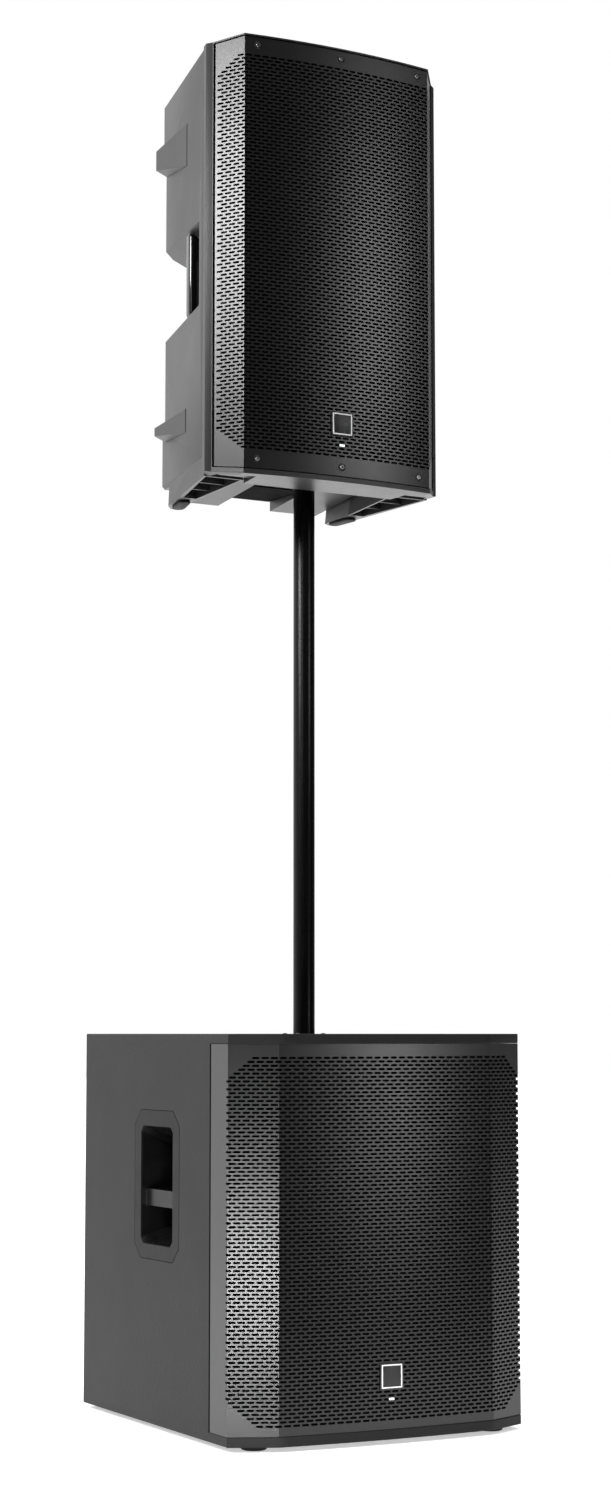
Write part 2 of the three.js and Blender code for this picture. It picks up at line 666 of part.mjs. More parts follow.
function cabinetGrille(group) {
  const c = CAB;
  const t = SHEET;
  const outer = [[-c.facetHalf, c.facetY + 4], [-c.facetHalf, c.facetY],
    ...bow(c.cornerHalf, c.cornerY, c.apexY, 10), [c.facetHalf, c.facetY],
    [c.facetHalf, c.facetY + 4]];
  const inner = [[c.facetHalf - t, c.facetY + 4], [c.facetHalf - t, c.facetY + t * 0.5],
    ...bow(c.cornerHalf - t * 0.5, c.cornerY + t, c.apexY + t, 10).reverse(),
    [-c.facetHalf + t, c.facetY + t * 0.5], [-c.facetHalf + t, c.facetY + 4]];
  const sheet = prism([...outer, ...inner], 0, c.height)
    .intersect(frontPrism(rimOutline(CAB.lipBottom + GAP, CAB.lipTop + GAP), -200, 0));
  node(group, "cabinet_grille", sheet, "steel");
}

function gripsAndBumpers(group) {
  const n = NOTCH;
  const y0 = n.gripFront;
  const y1 = n.gripRear;
  const plan = [[sideHalf(y0), y0], [sideHalf(y1), y1], [sideHalf(y1) - n.gripThick, y1],
    [sideHalf(y0) - n.gripThick, y0]];
  const bottom = plan.map(([x, y]) => [x, y, n.low + GAP]);
  const top = plan.map(([x, y]) => [x, y, notchCeiling(x, y) - 1.2]);
  const grip = loft(bottom, top);
  // Bumpers: [name, front low, front high, rear low, rear high], heights in the cabinet's frame.
  const bumpers = [["upper", 553, 628, 582, 634], ["lower", 101, 142, 117, 149]];
  const [front, rear, proud, lead] = [60, 204, 20, 0.5];
  for (const [side, place] of [["right", (s) => s], ["left", mirrored]]) {
    node(group, `hand_grip_${side}`, place(grip), "moulding");
    for (const [name, f0, f1, r0, r1] of bumpers) {
      const x0 = sideHalf(front) + GAP;
      const x1 = sideHalf(rear) + GAP;
      const near = [[x0, front, f0], [x0 + lead, front, f0 + 2], [x0 + lead, front, f1 - 2],
        [x0, front, f1]];
      const far = [[x1, rear, r0], [x1 + proud, rear, r0 + 8], [x1 + proud, rear, r1 - 10],
        [x1, rear, r1]];
      node(group, `bumper_${name}_${side}`, place(loft(near, far)), "moulding");
    }
    const foot = loft(ovalFoot(-4), ovalFoot(0));
    node(group, `cabinet_foot_${side}`, place(foot), "rubber");
  }
}

// Outline of the oval rubber foot at the rear end of a rail.
function ovalFoot(z) {
  const points = [];
  const [cx, cy, halfLength, radius, steps] = [154, 150, 20, 10.5, 6];
  const lean = Math.atan(CAB.taper);
  for (const end of [1, -1]) {
    for (let i = 0; i <= steps; i += 1) {
      const angle = (Math.PI * i) / steps + (end > 0 ? 0 : Math.PI);
      const x = radius * Math.cos(angle);
      const y = end * halfLength + radius * Math.sin(angle);
      points.push([cx + x * Math.cos(lean) - y * Math.sin(lean),
        cy + x * Math.sin(lean) + y * Math.cos(lean), z]);
    }
  }
  return points.map(([x, y]) => [x, y, z + railBottom(y) - GAP]);
}

function poleMount(group) {
  const base = underside(0);
  const depth = 60;
  const { cup } = POLE;
  const body = turned([
    [cup, base - 1.5], [cup, base + depth], [0, base + depth], [0, base + depth - 5],
    [POLE.bore, base + depth - 5], [POLE.bore, base - 1.5], [cup, base - 1.5],
  ], 28);
  node(group, "cabinet_pole_mount", body, "plastic");
}

function hornAndDriver(group) {
  const h = HORN;
  const y = CAB.baffleFront;
  const mouth = (grow, depth) => chamfered(-h.halfWidth - grow, h.halfWidth + grow,
    h.z - h.halfHeight - grow, h.z + h.halfHeight + grow, 14).map(([x, z]) => [x, depth, z]);
  const throat = (grow, depth) => chamfered(-h.throat - grow, h.throat + grow,
    h.z - h.throat - grow, h.z + h.throat + grow, 9).map(([x, z]) => [x, depth, z]);
  const flange = frontPrism(chamfered(-h.halfWidth, h.halfWidth, h.z - h.halfHeight,
    h.z + h.halfHeight, 14), y - 6, y - GAP);
  const shrink = -22;
  const bell = loft(mouth(shrink + h.wall, y - 3), throat(h.wall, y + h.depth));
  const bore = loft(mouth(shrink, y - 10), throat(0, y + h.depth + 1));
  node(group, "horn", cut(join(flange, bell), bore), "plastic");
  const back = y + h.depth + GAP;
  const driver = turned([[0, 0], [46, 0], [46, 4], [62, 6], [62, 44], [50, 52], [0, 52]], 36)
    .rotate([-90, 0, 0]).translate([0, back, h.z]);
  node(group, "compression_driver", driver, "magnet");
}

function upperCabinet() {
  const group = new THREE.Group();
  cabinetFront(group);
  cabinetRear(group);
  cabinetGrille(group);
  gripsAndBumpers(group);
  poleMount(group);
  hornAndDriver(group);
  woofer(group, "cabinet", CAB_WOOFER, CAB.baffleFront, 102, 36);
  amplifier(group, "cabinet", CAB_AMP, CAB.rearY, {
    inlet: [-45, 122], power: [30, 122], knob: [45, 400], sockets: [[-45, 400], [0, 400]],
    fins: [160, 330],
  });
  badgeAndLight(group, "cabinet", CAB.apexY - GAP, 95, 60);
  group.position.set(0, POLE.y, SUB.height + CAB.rise);
  return group;
}

const loudspeaker = new THREE.Group();
loudspeaker.add(subwoofer(), pole(), upperCabinet());

export default loudspeaker;
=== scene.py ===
"""A powered loudspeaker on a pole over a powered subwoofer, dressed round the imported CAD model.

Lengths in the code are millimetres in the CAD frame and are turned into metres when a mesh is made.
The studio and the camera are in metres.
"""
import math

import bmesh
import bpy
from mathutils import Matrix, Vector


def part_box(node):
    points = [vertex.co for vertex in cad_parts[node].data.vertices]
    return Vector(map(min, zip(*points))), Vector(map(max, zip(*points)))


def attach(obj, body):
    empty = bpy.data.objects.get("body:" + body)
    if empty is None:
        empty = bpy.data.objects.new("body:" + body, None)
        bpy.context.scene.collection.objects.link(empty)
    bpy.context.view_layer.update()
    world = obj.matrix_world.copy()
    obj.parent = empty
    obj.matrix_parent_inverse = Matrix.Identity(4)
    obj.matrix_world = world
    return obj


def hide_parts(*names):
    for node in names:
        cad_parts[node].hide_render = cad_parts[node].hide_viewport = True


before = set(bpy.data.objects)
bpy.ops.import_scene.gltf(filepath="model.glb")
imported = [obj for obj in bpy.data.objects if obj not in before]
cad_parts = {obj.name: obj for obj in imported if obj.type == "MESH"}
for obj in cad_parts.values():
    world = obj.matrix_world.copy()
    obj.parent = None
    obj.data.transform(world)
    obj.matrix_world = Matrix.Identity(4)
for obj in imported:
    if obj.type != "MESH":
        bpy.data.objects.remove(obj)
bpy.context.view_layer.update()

MM = 0.001


def edges_of(node):
    """A CAD node's box in millimetres: x0, x1, y0, y1, z0, z1."""
    low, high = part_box(node)
    return [v / MM for pair in zip(low, high) for v in pair]


# ---- dimensions -----------------------------------------------------------------------------
GAP = 0.3  # clearance between two pieces that touch
SHEET = 1.4  # steel of the grilles
SLOT_LENGTH, SLOT_HEIGHT = 11.6, 3.6
SLOT_FLAT, SLOT_END = 4.1, 0.75  # half lengths of the slot's long straight and of its end
FOAM_GAP, FOAM_THICK = 2.6, 3.0  # from a grille's face to the foam behind it, and the foam itself
SIDES = (("right", 1), ("left", -1))

SUB_X0, SUB_X1, SUB_FRONT, SUB_REAR, BOARD_LOW, SUB_HIGH = edges_of("sub_top_board")
BOARD = SUB_HIGH - BOARD_LOW
SUB_LOW = edges_of("sub_bottom_board")[4]
SUB_CORNER_X = 185.5  # where the subwoofer's bowed front meets its slanted corner
SIDE_FRONT = edges_of("sub_grille")[3] + GAP
COLLAR_RADIUS = 45
POLE_Y = (edges_of("pole_tube")[2] + edges_of("pole_tube")[3]) / 2
TUBE_INSIDE = 13.6  # radius inside the pole's tube

CAB_Z = edges_of("cabinet_front_shell")[4]  # bottom of the upper cabinet's rim
CAB_CORNER_X = 170.5
GRILLE_X1 = edges_of("cabinet_grille")[1]

# Studio: (name, place, target, width, height, watts), metres.
SOFTBOXES = [
    ("key_left", (-3.0, -0.66, 2.86), (-0.19, -0.1, 1.95), 1.3, 0.6, 95),
    ("strip_left", (-2.37, -2.15, 2.75), (-0.2, -0.1, 1.9), 0.3, 1.3, 12),
    ("low_front", (-0.69, -1.37, 0.14), (-0.22, -0.27, 0.25), 0.2, 0.2, 9),
    ("front_right_low", (1.98, -3.76, 0.5), (0, -0.29, 0.5), 0.6, 0.6, 16),
    ("front_right_high", (2.4, -3.5, 2.9), (0.1, -0.28, 1.77), 0.9, 0.9, 26),
    ("behind_low", (2.3, 4.6, 0.7), (0.1, 0.1, 1.5), 2.2, 1.2, 10),
]
# White surroundings: (towards, dot product where a lobe starts, where it is full, strength),
# for the back, above, the left, the right and all round.
WORLD_LOBES = [
    ((-0.25, 1, 0.05), 0.1, 0.85, 1.15),
    ((0, 0, 1), 0.35, 0.95, 0.8),
    ((-1, 0.45, 0.1), 0.5, 0.98, 0.5),
    ((1, 0.5, 0), 0.6, 1.0, 0.10),
    ((0, 0, 1), -2, -1.5, 0.022),
]
CAMERA_PLACE = (-1.9661, -3.7422, 0.6109)
CAMERA_HEADING, CAMERA_PITCH, CAMERA_LENS = 27.792, 6.249, 62.21  # degrees, degrees, millimetres


# ---- mesh helpers ---------------------------------------------------------------------------
def link(name, data):
    obj = bpy.data.objects.new(name, data)
    bpy.context.scene.collection.objects.link(obj)
    return obj


def raw(name, points, faces):
    """An object from points in millimetres, with its normals turned outwards."""
    mesh = bpy.data.meshes.new(name)
    mesh.from_pydata([[c * MM for c in p] for p in points], [], faces)
    edit = bmesh.new()
    edit.from_mesh(mesh)
    bmesh.ops.recalc_face_normals(edit, faces=edit.faces)
    edit.to_mesh(mesh)
    edit.free()
    return link(name, mesh)


def finished(obj, material, body, stands_for=(), smooth=None):
    """Gives the object its material and body, and says which CAD nodes it stands for."""
    obj.data.materials.clear()
    obj.data.materials.append(material)
    if smooth is not None:
        obj.data.shade_smooth()
        obj.data.set_sharp_from_angle(angle=math.radians(smooth))
    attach(obj, body)
    if stands_for:
        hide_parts(*stands_for)


def lofted(name, first, second):
    """A solid between two outlines with the same number of points."""
    n = len(first)
    sides = [[i, (i + 1) % n, n + (i + 1) % n, n + i] for i in range(n)]
    return raw(name, [*first, *second], [list(range(n))[::-1], list(range(n, 2 * n)), *sides])


def extruded(name, outline, at, low, high):
    """A prism: at(a, b, h) turns outline coordinates and a height into a point."""
    return lofted(name, *([at(a, b, h) for a, b in outline] for h in (low, high)))


def upright(name, outline, z0, z1):
    return extruded(name, outline, lambda x, y, z: (x, y, z), z0, z1)


def block(name, x0, x1, y0, y1, z0, z1):
    return upright(name, [(x0, y0), (x1, y0), (x1, y1), (x0, y1)], z0, z1)


def octagon(a0, a1, b0, b1, c):
    return [
        (a0 + c, b0), (a1 - c, b0), (a1, b0 + c), (a1, b1 - c),
        (a1 - c, b1), (a0 + c, b1), (a0, b1 - c), (a0, b0 + c),
    ]


def upwards(radial, across, height):
    return radial, across, height


def forwards(radial, across, height):
    return radial, -height, across


def backwards(radial, across, height):
    return radial, height, across


def turned(name, profile, centre, facing=upwards, segments=64):
    """A turned piece from a closed loop of (radius, height); a zero radius closes on the axis."""
    points = []
    rings = []
    for radius, height in profile:
        if radius <= 0:
            rings.append([len(points)])
            points.append((0, 0, height))
            continue
        rings.append(list(range(len(points), len(points) + segments)))
        for i in range(segments):
            a = 2 * math.pi * i / segments
            points.append((radius * math.cos(a), radius * math.sin(a), height))
    faces = []
    for ring, following in zip(rings, rings[1:] + rings[:1]):
        if len(ring) == 1 and len(following) == 1:
            continue
        for i in range(segments):
            j = (i + 1) % segments
            if len(ring) == 1:
                faces.append([ring[0], following[j], following[i]])
            elif len(following) == 1:
                faces.append([ring[i], ring[j], following[0]])
            else:
                faces.append([ring[i], ring[j], following[j], following[i]])
    placed = [[a + b for a, b in zip(facing(*p), centre)] for p in points]
    return raw(name, placed, faces)


def apply_modifiers(obj):
    """Replaces the object's mesh by what its modifiers make of it."""
    mesh = bpy.data.meshes.new_from_object(
        obj.evaluated_get(bpy.context.evaluated_depsgraph_get())
    )
    obj.modifiers.clear()
    obj.data = mesh


def carve(obj, *cutters):
    for cutter in cutters:
        modifier = obj.modifiers.new("carve", "BOOLEAN")
        modifier.object = cutter
        modifier.operation = "DIFFERENCE"
        modifier.solver = "EXACT"
        apply_modifiers(obj)
        bpy.data.objects.remove(cutter)


def add_bevel(obj, width, segments, angle):
    bevel = obj.modifiers.new("edge", "BEVEL")
    bevel.width = width * MM
    bevel.segments = segments
    bevel.limit_method = "ANGLE"
    bevel.angle_limit = math.radians(angle)
    return bevel


def round_edges(obj, width, segments=2, angle=28):
    add_bevel(obj, width, segments, angle)
    apply_modifiers(obj)


def round_cad_edges(obj, width, segments=2):
    """Rounds a CAD node's edges by modifiers, which leave its mesh as packed."""
    weld = obj.modifiers.new("weld", "WELD")
    weld.merge_threshold = 2e-5
    flat = obj.modifiers.new("flat", "DECIMATE")
    flat.decimate_type = "DISSOLVE"
    flat.angle_limit = math.radians(0.6)
    add_bevel(obj, width, segments, 24).miter_outer = "MITER_ARC"


# ---- materials ------------------------------------------------------------------------------
class Shader:
    """A Principled material whose colour, roughness and bump come from nodes."""

    def __init__(self, name):
        self.material = bpy.data.materials.new(name)
        self.material.use_nodes = True
        self.tree = self.material.node_tree
        self.main = self.tree.nodes["Principled BSDF"]
        self.place = self.node("ShaderNodeTexCoord").outputs["Object"]

    def node(self, kind, values=None, **settings):
        made = self.tree.nodes.new(kind)
        for key, value in settings.items():
            setattr(made, key, value)
        for key, value in (values or {}).items():
            made.inputs[key].default_value = value
        return made

    def wire(self, source, target):
        self.tree.links.new(source, target)

    def fixed(self, name, value):
        self.main.inputs[name].default_value = value

    def stretched(self, scale):
        mapping = self.node("ShaderNodeMapping", {"Scale": scale})
        self.wire(self.place, mapping.inputs["Vector"])
        return mapping.outputs["Vector"]

    def noise(self, scale, detail=3.0, along=None):
        made = self.node("ShaderNodeTexNoise", {"Scale": scale, "Detail": detail, "Roughness": 0.55})
        self.wire(along or self.place, made.inputs["Vector"])
        return made.outputs["Fac"]

    def cells(self, scale):
        made = self.node("ShaderNodeTexVoronoi", {"Scale": scale}, feature="SMOOTH_F1")
        self.wire(self.place, made.inputs["Vector"])
        return made.outputs["Distance"]

    def ranged(self, value, low, high, start=0.3, end=0.7):
        made = self.node(
            "ShaderNodeMapRange", {"From Min": start, "From Max": end, "To Min": low, "To Max": high}
        )
        self.wire(value, made.inputs["Value"])
        return made.outputs["Result"]

    def math(self, operation, a, b):
        made = self.node("ShaderNodeMath", operation=operation)
        for socket, value in zip(made.inputs, (a, b)):
            if isinstance(value, (int, float)):
                socket.default_value = value
            else:
                self.wire(value, socket)
        return made.outputs[0]

    def mixed(self, factor, first, second):
        """A blend of two greys or colours; a number is a grey."""
        made = self.node("ShaderNodeMix", data_type="RGBA")
        for name, value in (("A", first), ("B", second)):
            socket = next(s for s in made.inputs if s.name == name and s.type == "RGBA")
            if isinstance(value, float):
                value = (value, value, value)
            if isinstance(value, tuple):
                socket.default_value = (*value, 1)
            else:
                self.wire(value, socket)
        self.wire(factor, made.inputs[0])
        return next(s for s in made.outputs if s.type == "RGBA")

    def mottled(self, scale, detail, dark, light, along=None):
        return self.mixed(self.ranged(self.noise(scale, detail, along), 0, 1), dark, light)

    def bump(self, height, distance, strength=1.0):
        made = self.node("ShaderNodeBump", {"Distance": distance * MM, "Strength": strength})
        self.wire(height, made.inputs["Height"])
        if self.main.inputs["Normal"].is_linked:
            self.wire(self.main.inputs["Normal"].links[0].from_socket, made.inputs["Normal"])
        self.wire(made.outputs["Normal"], self.main.inputs["Normal"])

    def edge_wear(self, colour, light, amount):
        """Lets convex edges show a little paler, where paint thins and hands rub."""
        edges = self.node("ShaderNodeNewGeometry").outputs["Pointiness"]
        worn = self.ranged(edges, 0, amount, 0.52, 0.6)
        patchy = self.math("MULTIPLY", worn, self.ranged(self.noise(45), 0.2, 1))
        return self.mixed(patchy, colour, light)


def surface(name, dark, light, rough, grain, depth, *, mottle=14, wear=0.0, cells=False,
            streaks=None, metallic=0.0, specular=0.5, uneven=0.05):
    """Grain of the given size per metre and depth in mm, mottled colour and uneven gloss."""
    s = Shader(name)
    along = s.stretched(streaks) if streaks else None
    colour = s.mottled(mottle, 5, dark, light, along)
    colour = s.mixed(s.ranged(s.noise(grain * 0.8, 2), 0, 0.35), colour, light)
    if wear:
        colour = s.edge_wear(colour, light * 3.2, wear)
    s.wire(colour, s.main.inputs["Base Color"])
    gloss = s.ranged(s.noise(mottle * 2.3, 4, along), rough - uneven, rough + uneven)
    s.wire(gloss, s.main.inputs["Roughness"])
    s.fixed("Metallic", metallic)
    s.fixed("Specular IOR Level", specular)
    s.bump(s.cells(grain) if cells else s.noise(grain, 3), depth)
    s.bump(s.noise(grain * 0.22, 2), depth * 1.4, 0.5)
    return s.material


def handle_material(name):
    """The handle's rim matches the cabinet; its cup is smoother, and darker by painted shade in the
    recess.
    """
    cup_end, rim_start = 0.2515, 0.2535  # metres from the middle of the object
    s = Shader(name)
    depth = s.node("ShaderNodeSeparateXYZ")
    s.wire(s.place, depth.inputs[0])
    inside = s.ranged(s.math("ABSOLUTE", depth.outputs["X"], 0), 1, 0, cup_end, rim_start)
    rim = s.mottled(9, 4, 0.006, 0.009)
    # The cup's darker colour is painted shade inside the handle's recess.
    painted_shade_cup = s.mottled(26, 4, 0.004, 0.008)
    s.wire(s.mixed(inside, rim, painted_shade_cup), s.main.inputs["Base Color"])
    gloss = s.ranged(s.noise(40, 3), 0.0, 0.05)
    s.wire(s.math("ADD", s.ranged(inside, 0.45, 0.2, 0, 1), gloss), s.main.inputs["Roughness"])
    s.bump(s.noise(1100, 3), 0.08)
    s.fixed("Specular IOR Level", 0.14)
    return s.material


def light_material(name):
    s = Shader(name)
    tone = s.mottled(900, 3.0, (0.86, 0.9, 0.95), (0.97, 0.98, 1.0))
    s.wire(tone, s.main.inputs["Base Color"])
    s.wire(tone, s.main.inputs["Emission Color"])
    s.fixed("Emission Strength", 0.8)
    s.wire(s.ranged(s.noise(500), 0.15, 0.3), s.main.inputs["Roughness"])
    s.bump(s.noise(1500), 0.03)
    return s.material


def floor_material(name):
    """White paper on a lit table, which keeps the shadows soft."""
    s = Shader(name)
    tone = s.mottled(1.3, 4, 0.84, 0.88)
    s.wire(tone, s.main.inputs["Base Color"])
    s.wire(s.ranged(s.noise(4), 0.85, 0.95), s.main.inputs["Roughness"])
    s.bump(s.noise(300), 0.05)
    s.fixed("Specular IOR Level", 0.2)
    s.wire(tone, s.main.inputs["Emission Color"])
    s.fixed("Emission Strength", 0.55)
    return s.material


PAINT = surface("cabinet_paint", 0.010, 0.013, 0.46, 620, 0.20, cells=True, wear=0.25, mottle=5,
                specular=0.14, uneven=0.015)
MOULDING = surface("moulding", 0.010, 0.013, 0.42, 1150, 0.10, wear=0.15, mottle=6, uneven=0.02)
GRILLE = surface("grille_coat", 0.0055, 0.0075, 0.30, 1500, 0.012, mottle=9, uneven=0.01)
ENAMEL = surface("pole_enamel", 0.0016, 0.0028, 0.26, 900, 0.012, streaks=(60, 60, 2), mottle=3,
                 specular=0.12)
PLASTIC = surface("black_plastic", 0.010, 0.016, 0.38, 1300, 0.05)
GLOSS_PLASTIC = surface("grip_plastic", 0.003, 0.005, 0.10, 900, 0.002, mottle=20, uneven=0.02)
RUBBER = surface("rubber", 0.006, 0.010, 0.62, 800, 0.12, wear=0.1, specular=0.12)
PAPER = surface("cone_paper", 0.018, 0.028, 0.75, 520, 0.15, mottle=30)
MAGNET = surface("magnet_steel", 0.04, 0.06, 0.4, 700, 0.08, metallic=0.7)
CASTING = surface("basket_metal", 0.012, 0.018, 0.42, 650, 0.1, metallic=0.3)
PLATE = surface("amp_plate", 0.012, 0.018, 0.34, 1400, 0.04, streaks=(1, 1, 40), metallic=0.2)
BLOCK = surface("chassis", 0.025, 0.035, 0.55, 500, 0.1)
BADGE = surface("badge_black", 0.004, 0.007, 0.42, 1800, 0.01)
WHITE = surface("badge_border", 0.74, 0.82, 0.34, 1800, 0.01)
SCREW = surface("screw_steel", 0.10, 0.16, 0.28, 1600, 0.02, metallic=0.9)
# Black open-cell foam behind the grilles; the same black also paints shade on strips in gaps and in
# the channel under the upper cabinet.
FOAM_AND_PAINTED_SHADE = surface("acoustic_foam_and_painted_shade", 0.0012, 0.0022, 0.95, 420, 0.5, cells=True, specular=0.05)
LENS = light_material("light_lens")
HANDLE = handle_material("side_handle")

# The first key found in a CAD node's name gives its material.
CAD_MATERIALS = {
    "sub_baffle": PAINT, "cabinet_front_shell": MOULDING, "cabinet_rear_shell": MOULDING,
    "sub_handle": HANDLE, "hand_grip": GLOSS_PLASTIC, "bumper": MOULDING, "cabinet_foot": RUBBER,
    "woofer_basket": CASTING, "woofer_magnet": MAGNET, "woofer_cone": PAPER,
    "woofer_surround": RUBBER, "compression_driver": MAGNET, "amp_panel": PLATE,
    "amp_chassis": BLOCK, "mains_inlet": PLASTIC, "signal_socket": PLASTIC,
    "power_switch": PLASTIC, "level_knob": PLASTIC, "badge": BADGE, "status_light": LENS,
    "horn": PLASTIC, "cabinet_pole_mount": PLASTIC, "pole_tube": ENAMEL,
    "pole_top_plug": PLASTIC, "sub_pole_socket": CASTING, "grille": GRILLE, "sub_foot": RUBBER,
    "sub_": PAINT,
}
CAD_ROUNDING = {  # millimetres
    "cabinet_front_shell": 1.0, "cabinet_rear_shell": 1.3,
    "sub_handle_right": 1.1, "sub_handle_left": 1.1,
    "bumper_upper_right": 1.6, "bumper_upper_left": 1.6,
    "bumper_lower_right": 1.6, "bumper_lower_left": 1.6,
    "sub_mains_inlet": 0.4, "cabinet_mains_inlet": 0.4,
    "sub_power_switch": 0.4, "cabinet_power_switch": 0.4,
}


def dress_cad():
    for name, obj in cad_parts.items():
        obj.data.materials.clear()
        obj.data.materials.append(next(m for key, m in CAD_MATERIALS.items() if key in name))
    for node, width in CAD_ROUNDING.items():
        round_cad_edges(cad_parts[node], width)


# ---- perforated grilles ---------------------------------------------------------------------
class Profile:
    """A sheet's plan, from its middle outwards to +X, mirrored to -X. u runs along it."""

    def __init__(self, points):
        self.points = points
        self.reach = [0.0]
        for (x0, y0), (x1, y1) in zip(points, points[1:]):
            self.reach.append(self.reach[-1] + math.hypot(x1 - x0, y1 - y0))

    def at(self, u):
        s = min(abs(u), self.reach[-1])
        k = next(i for i in range(1, len(self.reach)) if s <= self.reach[i] + 1e-9)
        t = (s - self.reach[k - 1]) / (self.reach[k] - self.reach[k - 1])
        (x0, y0), (x1, y1) = self.points[k - 1], self.points[k]
        return math.copysign(x0 + (x1 - x0) * t, u), y0 + (y1 - y0) * t

    def inward(self, u, depth):
        """The point at u, sunk into the cabinet by depth."""
        step = 0.8
        end = self.reach[-1] - step
        v = max(-end, min(end, u))
        (x0, y0), (x1, y1) = self.at(v - step), self.at(v + step)
        along = math.hypot(x1 - x0, y1 - y0)
        x, y = self.at(u)
        return x - (y1 - y0) / along * depth, y + (x1 - x0) / along * depth


def bowed(half, y_end, y_middle, steps=26):
    parts = [i / steps for i in range(steps + 1)]
    return [(half * t, y_middle + (y_end - y_middle) * t ** 2) for t in parts]


def spaced(first, count_first, second, count_second):
    """Column places from 0 to first and on to second, in equal steps on each stretch."""
    inner = [first * k / count_first for k in range(count_first + 1)]
    return inner + [first + (second - first) * k / count_second for k in range(1, count_second + 1)]


def outermost(start, rows, limit):
    """Slot rows widen by half a slot each from the top and bottom, then keep to the sheet."""
    def reach(row):
        kept = min(start + min(row, rows - 1 - row), limit)
        return kept - (kept - start - row) % 2
    return reach


def slot_loop(u, z):
    """The ten corners of a slot, round from its right end: (u, z) pairs."""
    half, high = SLOT_LENGTH / 2, SLOT_HEIGHT / 2
    return [
        (u + half, z - SLOT_END), (u + half, z + SLOT_END), (u + SLOT_FLAT, z + high), (u, z + high),
        (u - SLOT_FLAT, z + high), (u - half, z + SLOT_END), (u - half, z - SLOT_END),
        (u - SLOT_FLAT, z - high), (u, z - high), (u + SLOT_FLAT, z - high),
    ]


def slot_faces(b, h):
    """The sheet between a slot's frame b, six points, and the slot's loop h, ten points."""
    return [
        [b[0], b[1], h[1], h[0]], [b[1], h[2], h[1]], [b[1], b[2], h[3], h[2]],
        [b[2], b[3], h[4], h[3]], [b[3], h[5], h[4]], [b[3], b[4], h[6], h[5]],
        [b[4], h[7], h[6]], [b[4], b[5], h[8], h[7]], [b[5], b[0], h[9], h[8]],
        [b[0], h[0], h[9]],
    ]


def perforated(name, profile, columns, rows, first_z, row_pitch, reach_of, low_at, high_at):
    """A bent sheet with staggered slots. columns[k] is u of column k to the right of the middle.
    reach_of(row) is the outermost slot column of a row. low_at(x) and high_at(x) are the sheet's
    bottom and top edges."""
    outer = len(columns) - 1
    us = dict(enumerate(columns))
    us.update({-k: -u for k, u in enumerate(columns)})
    points, flat, at = [], [], {}

    def add(u, z):
        x = profile.at(u)[0]
        points.append((u, min(max(z, low_at(x)), high_at(x))))
        return len(points) - 1

    def corner(k, line):
        if (k, line) not in at:
            z = {-1: 1e6, rows + 1: -1e6}.get(line, first_z + row_pitch * (0.5 - line))
            at[k, line] = add(us[k], z)
        return at[k, line]

    for row in range(-1, rows + 1):
        holes = []
        if 0 <= row < rows:
            reach = reach_of(row)
            holes = range(-reach, reach + 1, 2)
        covered = {k for h in holes for k in (h - 1, h)}
        for k in range(-outer, outer):
            if k not in covered:
                around = ((k, row + 1), (k + 1, row + 1), (k + 1, row), (k, row))
                flat.append([corner(*place) for place in around])
        for k in holes:
            around = ((k + 1, row + 1), (k + 1, row), (k, row), (k - 1, row), (k - 1, row + 1),
                      (k, row + 1))
            border = [corner(*place) for place in around]
            slot = [add(*p) for p in slot_loop(us[k], first_z - row_pitch * row)]
            flat += slot_faces(border, slot)
    edges = {(a, b) for face in flat for a, b in zip(face, face[1:] + face[:1])}
    n = len(points)
    walls = [[b, a, a + n, b + n] for a, b in sorted(edges) if (b, a) not in edges]
    front = [(*profile.at(u), z) for u, z in points]
    back = [(*profile.inward(u, SHEET), z) for u, z in points]
    mesh = bpy.data.meshes.new(name)
    mesh.from_pydata(
        [[c * MM for c in p] for p in front + back],
        [],
        [*flat, *[[i + n for i in face[::-1]] for face in flat], *walls],
    )
    mesh.validate()
    return link(name, mesh)


def foam_sheet(name, plan, z0, z1, body):
    """Open-cell foam held against the back of a grille, which hides the drivers behind it."""
    profile = Profile(plan)
    end = profile.reach[-1] - 3
    us = [end * k / 40 for k in range(-40, 41)]
    near = [profile.inward(u, FOAM_GAP) for u in us]
    far = [profile.inward(u, FOAM_GAP + FOAM_THICK) for u in reversed(us)]
    finished(upright(name, near + far, z0, z1), FOAM_AND_PAINTED_SHADE, body)


def sub_grille():
    _, x1, y0, y1, z0, z1 = edges_of("sub_grille")
    corner_y, facet_y = -279.5, -247.8
    shadow = 3.8  # the line of shadow before the side panel
    plan = [*bowed(SUB_CORNER_X, corner_y, y0), (x1, facet_y), (x1, y1 - shadow)]
    profile = Profile(plan)
    corner, bend, end = profile.reach[-3:]
    columns = spaced(corner, 26, bend, 11) + [bend + 7.1, bend + 30, end]
    rows, first, height = 94, 575.0, 538.0
    obj = perforated(
        "sub_grille_perforated", profile, columns, rows, first, height / (rows - 1),
        outermost(31, rows, 37), lambda x: z0, lambda x: z1,
    )
    finished(obj, GRILLE, "subwoofer", ["sub_grille"], smooth=12)
    foam_sheet("sub_grille_foam", plan[:-1], z0 + 3, z1 - 3, "subwoofer")


